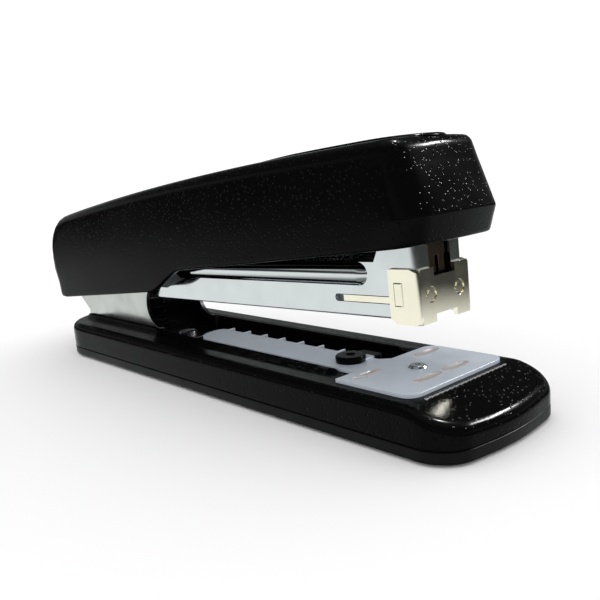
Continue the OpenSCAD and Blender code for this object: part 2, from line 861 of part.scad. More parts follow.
// Moulded cover of the handle, open underneath
module handle_cover() {
    color([0.03, 0.03, 0.032])
    handle_axes()
    difference() {
        intersection() {
            along_y(-cover_half, cover_w) cover_side();
            translate([0, 0, -40]) linear_extrude(80) cover_plan();
        }
        // the inside, open underneath
        intersection() {
            along_y(-cover_half, cover_w) union() {
                cover_side(cover_t);
                polygon([[cover_rear + cover_t + 1.3, -30], [front_low_x - cover_t, -30],
                         [front_low_x - cover_t, 4], [cover_rear + cover_t + 0.4, 4],
                         [cover_rear + cover_t + 0.4, -5]]);
            }
            translate([0, 0, -40]) linear_extrude(80) cover_plan(cover_t);
        }
        // the back is open below the pin's height and clears the ears as the handle swings up
        along_y(-window_half, 2 * window_half)
            polygon([[-20, -30], [window_x1, -30], [window_x1, window_top], [-20, window_top]]);
        inlay_form();
    }
    // posts for the screws that hold the frame
    color([0.03, 0.03, 0.032])
    handle_axes()
    for (x = cover_screw_x)
        difference() {
            translate([x, 0, fr_top]) cylinder(r = 3, h = cover_top(x) - cover_t - fr_top + 0.2);
            translate([x, 0, fr_top - past]) cylinder(r = 1.2, h = 4 + past);
        }
}

// Places along the grip panel, and how far it stands above the cover there
function inlay_x(i) = inlay_x0 + i * (inlay_x1 - inlay_x0) / 12;
function inlay_rise(x) =
    inlay_lap + (inlay_high - inlay_lap) * smooth(min(1, (x - inlay_x0) / inlay_ramp))
    - inlay_fall * pow((x - inlay_x0) / (inlay_x1 - inlay_x0), 12);

// Form of the panel let into the top of the cover, its rear end ramped and its front end round
module inlay_form() {
    intersection() {
        along_y(-inlay_half, 2 * inlay_half) polygon(concat(
            [for (i = [0:12]) let (x = inlay_x(i)) [x, cover_top(x) - inlay_deep]],
            [for (i = [12:-1:0]) let (x = inlay_x(i)) [x, cover_top(x) + inlay_rise(x)]]
        ));
        translate([0, 0, -40]) linear_extrude(80) union() {
            translate([inlay_x1 - inlay_half, 0]) circle(r = inlay_half);
            translate([inlay_x0, -inlay_half + 0.001])
                square([inlay_x1 - inlay_half - inlay_x0, 2 * inlay_half - 0.002]);
        }
    }
}

// Grip panel
module cover_inlay() {
    color([0.05, 0.05, 0.055])
    handle_axes() inlay_form();
}

// Steel channel inside the cover, open downwards
module handle_frame() {
    color([0.3, 0.31, 0.33])
    handle_axes()
    difference() {
        along_y(-fr_out, 2 * fr_out) union() {
            polygon([
                [fr_x0 + 3, fr_top], [fr_x1, fr_top], [fr_x1, fr_front_low], [fr_step_x + 8, fr_front_low],
                [fr_step_x - 4, fr_rear_low], [0, fr_rear_low], [fr_x0, -3], [fr_x0, fr_top - 3]
            ]);
        }
        translate([fr_x0 - past, -fr_out + fr_t, fr_rear_low - past])
            cube([fr_x1 - fr_x0 + 2 * past, 2 * (fr_out - fr_t), fr_top - fr_t - fr_rear_low + past]);
        cross_bar(0, 0, pin_r + running_fit, 2 * fr_out + past);
        for (x = cover_screw_x)
            translate([x, 0, fr_top - fr_t - past]) cylinder(r = 1.2, h = fr_t + 2 * past);
        translate([spring_root_x, 0, fr_top - fr_t - past]) cylinder(r = 1.1, h = fr_t + 2 * past);
        for (side = [-1, 1])
            translate([holder_rivet_x, side * driver_rivet_y, fr_top - fr_t - past])
                cylinder(r = driver_rivet_r, h = fr_t + 2 * past);
    }
}

// Screws from below, through the frame into the cover's posts
module cover_screws() {
    color([0.6, 0.61, 0.63])
    handle_axes()
    for (x = cover_screw_x)
        translate([x, 0, fr_top - fr_t]) {
            translate([0, 0, -1.2]) cylinder(r = 2.4, h = 1.2);
            translate([0, 0, -eps]) cylinder(r = 1.2, h = fr_t + 4 + eps);
        }
}

// Bowed leaf that lifts the handle off the magazine
module handle_spring() {
    z1 = fr_top - fr_t;
    x0 = spring_root_x - spring_flat / 2;
    n = 16;
    bow = [for (i = [0:n]) let (u = i / n)
        [spring_root_x + spring_flat / 2 + u * (spring_tip_x - spring_root_x - spring_flat / 2),
         z1 + (spring_tip_z - z1) * smooth(u)]];
    color([0.55, 0.56, 0.58])
    handle_axes()
    difference() {
        along_y(-spring_half_w, 2 * spring_half_w) polygon(concat(
            [[x0, z1 - spring_t], [x0, z1]],
            bow,
            [for (i = [n:-1:0]) bow[i] - [0.12 * sin(180 * i / n), spring_t]]
        ));
        translate([spring_root_x, 0, z1 - 4]) cylinder(r = 1.1, h = 5);
    }
}

// Rivet that holds the leaf to the frame
module spring_rivet() {
    color([0.6, 0.61, 0.63])
    handle_axes()
    translate([spring_root_x, 0, fr_top - fr_t - spring_t]) {
        translate([0, 0, -0.7]) cylinder(r = 2, h = 0.7);
        translate([0, 0, -eps]) cylinder(r = 1.1, h = spring_t + fr_t + eps);
        translate([0, 0, spring_t + fr_t]) cylinder(r = 1.8, h = 0.6);
    }
}

// Holes for the two rivets that join the blade to its angle piece
module blade_rivet_holes() {
    for (side = [-1, 1])
        translate([-4, side * blade_rivet_y, driver_rivet_z]) rotate([0, 90, 0])
            cylinder(r = driver_rivet_r, h = 8);
}

// A point of the leaning driver, seen in the handle's own axes
function leaning(x, z) =
    [blade_x + x * cos(blade_lean) + z * sin(blade_lean),
     blade_z0 - x * sin(blade_lean) + z * cos(blade_lean)];

// Angle piece that hangs the driver from the frame
module driver_bracket() {
    z1 = fr_top - fr_t;
    z0 = z1 - holder_t;
    front = -blade_t / 2;
    rear = front - holder_t;
    fold = blade_h - 0.6;
    color([0.2, 0.2, 0.21])
    handle_axes()
    difference() {
        along_y(-blade_neck, 2 * blade_neck) polygon([
            leaning(rear, holder_z0), leaning(front, holder_z0), leaning(front, fold),
            [leaning(front, fold)[0], z1], [holder_rivet_x - 4, z1], [holder_rivet_x - 4, z0],
            [leaning(rear, fold - 0.8)[0], z0]
        ]);
        for (side = [-1, 1])
            translate([holder_rivet_x, side * driver_rivet_y, z0 - past])
                cylinder(r = driver_rivet_r, h = holder_t + 2 * past);
        translate([blade_x, 0, blade_z0]) rotate([0, blade_lean, 0]) blade_rivet_holes();
    }
}

// Blade that pushes one staple out through the head
module driver_blade() {
    color([0.25, 0.25, 0.26])
    driver_frame()
    difference() {
        along_x(-blade_t / 2, blade_t) polygon([
            [-blade_half, 0], [blade_half, 0], [blade_half, blade_shoulder_h],
            [blade_neck, blade_shoulder_h + 0.8], [blade_neck, blade_h],
            [-blade_neck, blade_h], [-blade_neck, blade_shoulder_h + 0.8], [-blade_half, blade_shoulder_h]
        ]);
        blade_rivet_holes();
    }
}

// Bronze stiffener with two legs in front of the blade
module driver_clip() {
    color([0.22, 0.17, 0.12])
    driver_frame()
    along_x(blade_t / 2, 0.6) polygon([
        [-2.4, 0.8], [-0.5, 0.8], [-0.5, 4], [0.5, 4], [0.5, 0.8], [2.4, 0.8], [2.4, 4], [2.9, 4],
        [2.9, 6], [1.6, 7], [1.6, 13], [-1.6, 13], [-1.6, 7], [-2.9, 6], [-2.9, 4], [-2.4, 4]
    ]);
}

// Two rivets through the blade and two through the handle's frame
module driver_rivets() {
    color([0.6, 0.61, 0.63]) {
        driver_frame()
        for (side = [-1, 1])
            translate([0, side * blade_rivet_y, driver_rivet_z]) rotate([0, 90, 0]) {
                translate([0, 0, -blade_t / 2 - holder_t - 0.6]) cylinder(r = blade_rivet_head_r, h = 0.6);
                translate([0, 0, -blade_t / 2 - holder_t - eps])
                    cylinder(r = driver_rivet_r, h = blade_t + holder_t + 2 * eps);
                translate([0, 0, blade_t / 2]) cylinder(r = blade_rivet_head_r, h = 0.5);
            }
        handle_axes()
        for (side = [-1, 1])
            translate([holder_rivet_x, side * driver_rivet_y, fr_top - fr_t - holder_t]) {
                translate([0, 0, -0.6]) cylinder(r = 2, h = 0.6);
                translate([0, 0, -eps]) cylinder(r = driver_rivet_r, h = fr_t + holder_t + eps);
                translate([0, 0, fr_t + holder_t]) cylinder(r = 1.8, h = 0.5);
            }
    }
}

base_shell();
base_tray();
anti_slip_pad();
tray_screws();
base_frame();
frame_screws();
anvil_plate();
anvil_rivet();
pivot_pin();
pin_clips();
return_spring();
depth_stop_knob();
depth_stop_clip();
magazine_channel();
staple_rail();
rail_rivets();
staple_head();
guide_rod();
rear_rod_bracket();
front_rod_bracket();
staple_pusher();
pusher_spring();
handle_frame();
handle_cover();
cover_inlay();
cover_screws();
handle_spring();
spring_rivet();
driver_bracket();
driver_blade();
driver_clip();
driver_rivets();
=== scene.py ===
# Looks of the desk stapler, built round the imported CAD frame. Lengths in the helpers are in millimetres, in
# the CAD's own axes; every mesh is scaled to metres as it is made.
import json
import math

import bmesh
import bpy
import numpy as np
from mathutils import Matrix, Vector


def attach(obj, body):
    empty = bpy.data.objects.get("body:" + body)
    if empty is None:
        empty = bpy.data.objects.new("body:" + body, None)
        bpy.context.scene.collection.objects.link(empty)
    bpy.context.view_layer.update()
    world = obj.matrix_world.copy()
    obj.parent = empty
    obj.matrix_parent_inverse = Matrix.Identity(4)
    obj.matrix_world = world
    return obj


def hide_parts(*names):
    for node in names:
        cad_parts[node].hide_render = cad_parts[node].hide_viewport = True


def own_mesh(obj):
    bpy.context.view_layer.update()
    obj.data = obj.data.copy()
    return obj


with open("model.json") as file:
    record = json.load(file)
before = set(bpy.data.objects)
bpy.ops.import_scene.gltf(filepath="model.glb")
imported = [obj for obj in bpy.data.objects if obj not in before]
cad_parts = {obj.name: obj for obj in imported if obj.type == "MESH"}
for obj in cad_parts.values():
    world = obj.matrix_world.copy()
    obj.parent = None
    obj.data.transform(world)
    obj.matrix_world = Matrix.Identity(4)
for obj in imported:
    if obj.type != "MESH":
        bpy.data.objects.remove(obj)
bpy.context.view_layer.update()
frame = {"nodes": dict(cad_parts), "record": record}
MM = 0.001
NODES = frame["nodes"]
BODY_OF = {node: body for body, nodes in frame["record"]["behaviour"]["bodies"].items() for node in nodes}
SLOT_OF = {part["node"]: part["material_slot"] for part in frame["record"]["subparts"]}

# Places that part.scad states too. X runs to the front and Z up, and angles are in degrees.
PIVOT = (-68.0, 28.0)  # X and Z of the pin
ANVIL_X = 63.0  # middle of the anvil
NOSE_X = 85.0  # front of the base
BASE_X0 = NOSE_X - 156.5  # rear of the base
HALF_W = 19.0  # half width of the base
RIM = 10.2  # height of the base's rims
LIP = 11.0  # height of the trough's lips, level with the top of the plate
HANDLE_TILT = 6.2
MAGAZINE_TILT = 2.13
MAGAZINE_Z0 = -10.17  # the magazine's floor, from the pin
HEAD_X = 137.7  # front of the staple head, from the pin
HEAD_HALF = 8.3  # half width of the staple head
HEAD_SHEET = 0.9  # from the head's outer faces in to the channel's
TICK_PITCH = 7.03  # between two lines of the scale


# ---------------------------------------------------------------- numbers

def smooth(t):
    """Rises from 0 to 1 with soft ends."""
    t = np.clip(t, 0.0, 1.0)
    return t * t * (3 - 2 * t)


def arc(cx, cy, r, a0, a1, n):
    """The n + 1 points of an arc between two angles in degrees."""
    a = np.radians(np.linspace(a0, a1, n + 1))
    return np.stack([cx + r * np.cos(a), cy + r * np.sin(a)], 1)


def tilted(points, tilt):
    """Points given along a body that swings about the pin, as places in the shared frame."""
    p = np.asarray(points, float)
    c = math.cos(math.radians(tilt))
    s = math.sin(math.radians(tilt))
    x, z = p[:, 0], p[:, 2]
    return np.stack([PIVOT[0] + x * c - z * s, p[:, 1], PIVOT[1] + x * s + z * c], 1)


# Steps of an outline: of the flat rear from its middle, of each corner, and of the bowed front to its middle
FLAT_STEPS = 5
CORNER_STEPS = 12
BOW_STEPS = 8


def plan(x0, x1, hw, r0, r1, bow, side_x):
    """Outline with round corners and a bowed front, from the rear's middle round by the near side. r0 and r1
    are the radii of the rear and front corners and bow is the front's. side_x gives X along the side."""
    dip = bow - math.sqrt(bow * bow - (hw - r1) ** 2)
    flat = [(x0, -(hw - r0) * k / FLAT_STEPS) for k in range(FLAT_STEPS)]
    rear_x, front_x = x0 + r0, x1 - dip - r1
    rear = arc(rear_x, -(hw - r0), r0, 180, 270, CORNER_STEPS)
    side = [(x, -hw) for x in side_x(rear_x, front_x)]
    front = arc(front_x, -(hw - r1), r1, 270, 352, CORNER_STEPS)
    ys = -(hw - r1) * (1 - np.arange(1, BOW_STEPS + 1) / BOW_STEPS)
    nose = np.stack([x1 - bow + np.sqrt(bow * bow - ys * ys), ys], 1)
    half = np.concatenate([flat, rear, side, front, nose])
    back = half[1:-1][::-1] * [1, -1]
    return np.concatenate([half, back])


def at_height(ring, z):
    """An outline's points in space, at one height or at a height for each."""
    return np.column_stack([ring, np.broadcast_to(z, len(ring))])


# ---------------------------------------------------------------- meshes

def weigh(obj):
    """Shades wide faces flat and keeps the roundings between them smooth."""
    modifier = obj.modifiers.new("weights", "WEIGHTED_NORMAL")
    modifier.keep_sharp = True
    modifier.weight = 60


def new_object(name, verts, faces, body, look, sharp=32.0):
    """A smooth-shaded mesh in the shared frame that rides on a body."""
    mesh = bpy.data.meshes.new(name)
    mesh.from_pydata([tuple(v) for v in np.asarray(verts) * MM], [], faces)
    bm = bmesh.new()
    bm.from_mesh(mesh)
    bmesh.ops.remove_doubles(bm, verts=bm.verts, dist=1e-6)
    bmesh.ops.dissolve_degenerate(bm, edges=bm.edges, dist=1e-7)
    bmesh.ops.recalc_face_normals(bm, faces=bm.faces)
    bm.to_mesh(mesh)
    bm.free()
    mesh.shade_smooth()
    mesh.set_sharp_from_angle(angle=math.radians(sharp))
    obj = bpy.data.objects.new(name, mesh)
    bpy.context.scene.collection.objects.link(obj)
    mesh.materials.append(look)
    weigh(obj)
    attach(obj, body)
    return obj


def loop_rows(rows, close_first=None, close_last=None):
    """Quads between closed rows of equal length; each end may be closed onto the middle line."""
    rows = [np.asarray(row, float) for row in rows]
    if close_first is not None:
        rows.insert(0, close_first)
    if close_last is not None:
        rows.append(close_last)
    n = len(rows[0])
    faces = []
    for a in range(0, (len(rows) - 1) * n, n):
        b = a + n
        for i in range(n):
            k = (i + 1) % n
            faces.append((a + i, a + k, b + k, b + i))
    return np.concatenate(rows), faces


def joined(parts):
    """Several (points, faces) as one."""
    verts, faces, at = [], [], 0
    for points, polygons in parts:
        verts.append(points)
        faces += [tuple(i + at for i in polygon) for polygon in polygons]
        at += len(points)
    return np.concatenate(verts), faces


def block(x0, x1, y0, y1, z0, z1):
    points = np.array([(x, y, z) for z in (z0, z1) for y in (y0, y1) for x in (x0, x1)], float)
    faces = [(0, 2, 3, 1), (4, 5, 7, 6), (0, 1, 5, 4), (2, 6, 7, 3), (0, 4, 6, 2), (1, 3, 7, 5)]
    return points, faces


def raised(x0, x1, y0, y1, z0, z1, edge):
    """A block whose outer face, at y1, is smaller than its root by a narrow edge."""
    def corners(y, inset):
        left, right = x0 + inset, x1 - inset
        low, high = z0 + inset, z1 - inset
        return [(left, y, low), (right, y, low), (right, y, high), (left, y, high)]

    points = corners(y0, 0) + corners(y1 - math.copysign(edge / 2, y1), 0) + corners(y1, edge)
    faces = [(0, 1, 2, 3), (8, 9, 10, 11)]
    for row in (0, 4):
        faces += [(row + i, row + (i + 1) % 4, row + 4 + (i + 1) % 4, row + 4 + i) for i in range(4)]
    return np.array(points, float), faces


FOLD_REACH = 0.06  # how far from a fold its vertices may lie


def in_magazine(co):
    """A vertex's place in millimetres along, out from the middle and up, from the magazine's own origin."""
    t = math.radians(MAGAZINE_TILT)
    x, z = co.x / MM - PIVOT[0], co.z / MM - PIVOT[1]
    along = x * math.cos(t) + z * math.sin(t)
    up = z * math.cos(t) - x * math.sin(t) - MAGAZINE_Z0
    return along, abs(co.y) / MM, up


def fold_edges(bm, half, x=None, z=None):
    """The edges where a magazine part bends: from its sides into its front, at x, or its floor, at z."""
    def on_fold(vertex):
        pairs = zip(in_magazine(vertex.co), (x, half, z))
        return all(place is None or abs(value - place) < FOLD_REACH for value, place in pairs)

    return [e for e in bm.edges if on_fold(e.verts[0]) and on_fold(e.verts[1])]


BROKEN_ANGLE = math.radians(35.0)  # edges sharper than this are broken


def refined(node, look, width, folds=(), cut_y=None):
    """A copy of a CAD node's mesh with its edges broken, which stands for that node. folds gives each bend
    of a magazine part: its half width, the length or height where it is, and its radius. cut_y is where its
    faces are split for a second material."""
    mesh = NODES[node].data.copy()
    mesh.name = node + "_fine"
    bm = bmesh.new()
    bm.from_mesh(mesh)
    bmesh.ops.remove_doubles(bm, verts=bm.verts, dist=2e-6)
    bmesh.ops.dissolve_limit(
        bm, angle_limit=math.radians(1.0), use_dissolve_boundaries=False, verts=bm.verts, edges=bm.edges
    )
    for half, place, radius in folds:
        edges = fold_edges(bm, half, **place)
        bmesh.ops.bevel(bm, geom=edges, offset=radius * MM, segments=5, profile=0.5, affect="EDGES")
    if cut_y is not None:
        everything = bm.verts[:] + bm.edges[:] + bm.faces[:]
        bmesh.ops.bisect_plane(bm, geom=everything, plane_co=(0, cut_y * MM, 0), plane_no=(0, 1, 0))
    bm.to_mesh(mesh)
    bm.free()
    mesh.materials.clear()
    mesh.materials.append(look)
    mesh.shade_smooth()
    mesh.set_sharp_from_angle(angle=BROKEN_ANGLE)
    obj = bpy.data.objects.new(node + "_fine", mesh)
    bpy.context.scene.collection.objects.link(obj)
    modifier = obj.modifiers.new("edges", "BEVEL")
    modifier.width = width * MM
    modifier.segments = 2
    modifier.limit_method = "ANGLE"
    modifier.angle_limit = BROKEN_ANGLE
    modifier.harden_normals = False
    weigh(obj)
    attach(obj, BODY_OF[node])
    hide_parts(node)
    return obj


def second_look(obj, look, chosen):
    """Gives the faces that chosen picks a second material."""
    obj.data.materials.append(look)
    for polygon in obj.data.polygons:
        polygon.material_index = int(chosen(polygon))


# ---------------------------------------------------------------- materials

NOISE_RANGE = (0.35, 0.65)  # where most of the noise's values lie
WEAR_DETAIL = 4
LEAST_ROUGH = 0.02


def noise(tree, place, scale, detail):
    texture = tree.nodes.new("ShaderNodeTexNoise")
    texture.inputs["Scale"].default_value = scale
    texture.inputs["Detail"].default_value = detail
    tree.links.new(place, texture.inputs["Vector"])
    return texture.outputs["Fac"]


def relief(tree, form, depth, under=None):
    """A normal that follows a form depth millimetres deep, laid over another normal if there is one."""
    bump = tree.nodes.new("ShaderNodeBump")
    bump.inputs["Strength"].default_value = 1.0
    bump.inputs["Distance"].default_value = depth * MM
    tree.links.new(form, bump.inputs["Height"])
    if under is not None:
        tree.links.new(under, bump.inputs["Normal"])
    return bump.outputs["Normal"]


def bowls(tree, place, scale, size):
    """Round pits, one in each cell of a pattern."""
    cells = tree.nodes.new("ShaderNodeTexVoronoi")
    cells.inputs["Scale"].default_value = scale
    tree.links.new(place, cells.inputs["Vector"])
    bowl = tree.nodes.new("ShaderNodeMapRange")
    bowl.interpolation_type = "SMOOTHSTEP"
    bowl.inputs["From Max"].default_value = size
    tree.links.new(cells.outputs["Distance"], bowl.inputs["Value"])
    return bowl.outputs["Result"]


def add_wear(tree, shader, place, base, rough, scale, step, dark):
    """Patches that are rougher and darker than the rest."""
    patches = noise(tree, place, scale, WEAR_DETAIL)
    gloss = tree.nodes.new("ShaderNodeMapRange")
    gloss.inputs["From Min"].default_value = NOISE_RANGE[0]
    gloss.inputs["From Max"].default_value = NOISE_RANGE[1]
    gloss.inputs["To Min"].default_value = max(LEAST_ROUGH, rough - step)
    gloss.inputs["To Max"].default_value = rough + step
    tree.links.new(patches, gloss.inputs["Value"])
    tree.links.new(gloss.outputs["Result"], shader.inputs["Roughness"])
    tint = tree.nodes.new("ShaderNodeMix")
    tint.data_type = "RGBA"
    tint.inputs["A"].default_value = (*base, 1)
    tint.inputs["B"].default_value = (*[c * (1 - dark) for c in base], 1)
    tree.links.new(patches, tint.inputs["Factor"])
    tree.links.new(tint.outputs["Result"], shader.inputs["Base Color"])


def material(name, base, rough, metal=0.0, spec=0.5, ior=1.5, bump=None, wear=None, pits=None):
    """Principled material. bump is (scale, height in mm, detail); wear is (scale, roughness step, dark
    share); pits is (scale, size as a share of their spacing, depth in mm)."""
    made = bpy.data.materials.new(name)
    made.use_nodes = True
    tree = made.node_tree
    shader = tree.nodes["Principled BSDF"]
    shader.inputs["Metallic"].default_value = metal
    shader.inputs["Specular IOR Level"].default_value = spec
    shader.inputs["IOR"].default_value = ior
    shader.inputs["Base Color"].default_value = (*base, 1)
    shader.inputs["Roughness"].default_value = rough
    place = tree.nodes.new("ShaderNodeTexCoord").outputs["Object"]
    if wear:
        add_wear(tree, shader, place, base, rough, *wear)
    normal = None
    if bump:
        scale, height, detail = bump
        normal = relief(tree, noise(tree, place, scale, detail), height)
    if pits:
        scale, size, depth = pits
        normal = relief(tree, bowls(tree, place, scale, size), depth, normal)
    if normal is not None:
        tree.links.new(normal, shader.inputs["Normal"])
    return made


LOOKS = {
    "gloss_black": dict(
        base=(0.0022, 0.0022, 0.0024), rough=0.17, ior=1.125,
        bump=(2600, 0.005, 1), wear=(60, 0.04, 0.3), pits=(1000, 0.3, 0.1),
    ),
    "tray_black": dict(
        base=(0.004, 0.004, 0.004), rough=0.4, ior=1.2, bump=(2500, 0.01, 2), wear=(80, 0.06, 0.3)
    ),
    # Matte black is also painted shade on the depth stop clip beyond the plate's edge
    "matte_black": dict(
        base=(0.006, 0.006, 0.0065), rough=0.5, spec=0.15, bump=(2500, 0.01, 2), wear=(80, 0.06, 0.3)
    ),
    "rubber": dict(
        base=(0.014, 0.014, 0.014), rough=0.8, spec=0.3, bump=(1200, 0.03, 4), wear=(60, 0.08, 0.4)
    ),
    "chrome": dict(base=(0.70, 0.74, 0.73), rough=0.10, metal=1.0, wear=(160, 0.03, 0.08)),
    "nickel": dict(
        base=(0.97, 0.93, 0.75), rough=0.08, metal=1.0, bump=(900, 0.001, 2), wear=(150, 0.04, 0.14)
    ),
    "satin_steel": dict(
        base=(0.59, 0.645, 0.725), rough=0.38, metal=0.2, bump=(1500, 0.0015, 2), wear=(180, 0.05, 0.10)
    ),
    "frame_steel": dict(base=(0.58, 0.60, 0.57), rough=0.2, metal=1.0, wear=(160, 0.05, 0.08)),
    # Dark steel is some parts' own finish, and is also laid as painted shade on the frame's inner faces and
    # the return spring
    "dark_steel": dict(
        base=(0.04, 0.04, 0.045), rough=0.36, metal=1.0, bump=(900, 0.003, 2), wear=(200, 0.08, 0.3)
    ),
    "spring_steel": dict(base=(0.5, 0.5, 0.52), rough=0.25, metal=1.0, wear=(300, 0.06, 0.2)),
    "zinc": dict(base=(0.6, 0.6, 0.62), rough=0.3, metal=1.0, bump=(900, 0.002, 2), wear=(200, 0.08, 0.2)),
    # Partly the grooves' own shinier pressed finish, partly a painted highlight: a pale colour standing in
    # for their reflection
    "pressed_finish_and_sheen": dict(base=(0.90, 0.84, 0.84), rough=0.16, metal=0.55, wear=(300, 0.05, 0.1)),
    "print_white": dict(base=(0.85, 0.87, 0.9), rough=0.4, wear=(900, 0.05, 0.1)),
    # Light grey of the nose ribs: a painted highlight along the ridge
    "ridge_sheen_grey": dict(base=(0.62, 0.62, 0.64), rough=0.45, wear=(900, 0.05, 0.5)),
    "bronze": dict(
        base=(0.07, 0.048, 0.034), rough=0.34, metal=1.0, bump=(900, 0.003, 2), wear=(200, 0.08, 0.3)
    ),
}
MAT = {name: material(name, **look) for name, look in LOOKS.items()}


# ---------------------------------------------------------------- handle cover

# The cover's own axes start at the pin and run along the handle
COVER_REAR, COVER_FRONT, COVER_HALF = -16.87, 144.2, 14.3
COVER_LOW, COVER_HIGH = -10.6, -5.5  # lower edge beside the pin, and from its step to the front
STEP_X, STEP_LENGTH = 48, 18  # where the lower edge rises
SHELL = 1.8  # thickness of the wall
CREASE_Z = -0.3  # line where the front wall turns
TOP_PEAK = (56.0, 16.85)
TOP_R = 1315.0
TOP_X = (4, 134)  # ends of the long arc over the top
CROWN = 0.2  # how far the top falls from its middle to its sides
BACK_MID, BACK_REACH = [1.13, -0.6], [18.0, 16.2]  # ellipse of the back
BACK_FOOT = [(-14.9, -30), (-15.6, -5.5)]
BROW_X, BROW_R = 137.7, 3.2  # middle and radius of the rounding from the top into the front
FRONT_LINE = [(141.45, 9.3), (COVER_FRONT, CREASE_Z), (142, COVER_HIGH), (136, -30)]
REAR_R, FRONT_R, SIDE_R = 8.0, 4.9, 3.2  # roundings of the outer form
CORNER_R = 6  # front corners of the outline that the mesh follows
COVER_BOW = 70  # radius of the front seen from above
BOW_X, BOW_LENGTH = 60, 60  # start and length of the stretch where the form takes up that bow
LIFT_X, LOW_EDGE_R = -6.8, 6.2  # where the lower edge curves up at the back, and its radius there
WINDOW_X, WINDOW_HALF, WINDOW_TOP = -8, 12.0, 2.0  # opening in the back
WINDOW_SLOPE = 0.7  # width over which its sides rise
EDGE_ROUND = 0.45  # rounding of the lower edge
EDGE_CUT = 0.13  # how far in from each face the middle of that rounding lies
FRONT_WALL = 9.0  # height of the front wall below its rounding
SPINE = (-4, 130)  # ends of the middle line that all rays start from
SPINE_Z = 2.0
RAY_REACH, RAY_HALVINGS = 45.0, 26  # how far a ray looks, and how often that is halved


def cover_top(x):
    return TOP_PEAK[1] - TOP_R + np.sqrt(TOP_R ** 2 - (np.asarray(x, float) - TOP_PEAK[0]) ** 2)


def cover_crown(y):
    return CROWN * (np.asarray(y) / COVER_HALF) ** 2


def cover_side_outline():
    """The cover's side outline in X and Z, open far below."""
    xs = np.linspace(*TOP_X, 24)
    return np.concatenate([
        BACK_FOOT,
        arc(0, 0, 1, 180, 92, 24) * BACK_REACH + BACK_MID,
        np.stack([xs, cover_top(xs)], 1),
        arc(BROW_X, float(cover_top(BROW_X)) - BROW_R, BROW_R, 80, 22, 8),
        FRONT_LINE,
    ])


OUT_A = cover_side_outline()
OUT_B = np.roll(OUT_A, -1, 0)


def side_distance(x, z):
    """Signed distance to the side outline, and the X part of its direction."""
    p = np.stack([x, z], 1)
    d = OUT_B - OUT_A
    w = p[:, None, :] - OUT_A[None]
    t = np.clip((w * d).sum(-1) / (d * d).sum(-1), 0, 1)
    q = w - d[None] * t[..., None]
    sq = (q * q).sum(-1)
    k = sq.argmin(1)
    near = q[np.arange(len(p)), k]
    dist = np.sqrt(sq[np.arange(len(p)), k])
    above = (OUT_A[None, :, 1] > p[:, 1:]) != (OUT_B[None, :, 1] > p[:, 1:])
    slope = np.where(np.abs(d[:, 1]) < 1e-9, 1e-9, d[:, 1])
    cross_x = OUT_A[:, 0] + (p[:, 1:] - OUT_A[None, :, 1]) * (d[:, 0] / slope)
    inside = (above & (p[:, :1] < cross_x)).sum(1) % 2 == 1
    sign = np.where(inside, -1.0, 1.0)
    nx = sign * near[:, 0] / np.maximum(dist, 1e-6)
    return sign * dist, nx


def cover_field(p):
    """Below zero inside the cover's outer form, with its roundings."""
    x, y, z = p[:, 0], p[:, 1], p[:, 2]
    bow = smooth((x - BOW_X) / BOW_LENGTH) * y * y / (2 * COVER_BOW)
    b, nx = side_distance(x + bow, z + cover_crown(y))
    a = np.abs(y) - COVER_HALF
    end = np.where(nx < 0, REAR_R, FRONT_R)
    r = SIDE_R + (end - SIDE_R) * nx * nx
    return np.minimum(np.maximum(a + r, b + r), 0) + np.hypot(np.maximum(a + r, 0), np.maximum(b + r, 0)) - r


def hits(origin, direction, inset):
    """Where rays leave the form that lies inset within the cover's outer form."""
    lo = np.zeros(len(origin))
    hi = np.full(len(origin), RAY_REACH)
    for _ in range(RAY_HALVINGS):
        mid = (lo + hi) / 2
        inside = cover_field(origin + direction * mid[:, None]) + inset < 0
        lo = np.where(inside, mid, lo)
        hi = np.where(inside, hi, mid)
    return origin + direction * hi[:, None]


def cover_low_edge(x, y):
    """Height of the cover's lower edge: stepped along the sides, open at the back."""
    low = COVER_LOW + (COVER_HIGH - COVER_LOW) * smooth((x - STEP_X) / STEP_LENGTH)
    past = np.clip((LIFT_X - x) + (COVER_HALF - np.abs(y)), 0, LOW_EDGE_R) * (x < LIFT_X)
    low = low + LOW_EDGE_R - np.sqrt(np.maximum(LOW_EDGE_R ** 2 - past ** 2, 0))
    window = smooth((WINDOW_HALF - np.abs(y)) / WINDOW_SLOPE) * (x < WINDOW_X)
    return low + (WINDOW_TOP - low) * window


def cover_side_x(a, b):
    """X along the cover's side, closer together at the step of its lower edge."""
    step_end = STEP_X + STEP_LENGTH
    return np.concatenate([
        np.linspace(a, STEP_X - 4, 20)[1:],
        np.linspace(STEP_X - 2.5, step_end + 3, 17),
        np.linspace(step_end + 7, b, 18)[:-1],
    ])


def cover_ring():
    """The outline that the cover's mesh follows, with finer steps round its rear corners."""
    ring = plan(COVER_REAR, COVER_FRONT, COVER_HALF, REAR_R, CORNER_R, COVER_BOW, cover_side_x)
    fine = arc(COVER_REAR + REAR_R, -(COVER_HALF - REAR_R), REAR_R, 180, 270, 48)
    start = FLAT_STEPS
    end = FLAT_STEPS + CORNER_STEPS + 1
    return np.concatenate([ring[:start], fine, ring[end:1 - end], (fine * [1, -1])[::-1], ring[1 - start:]])


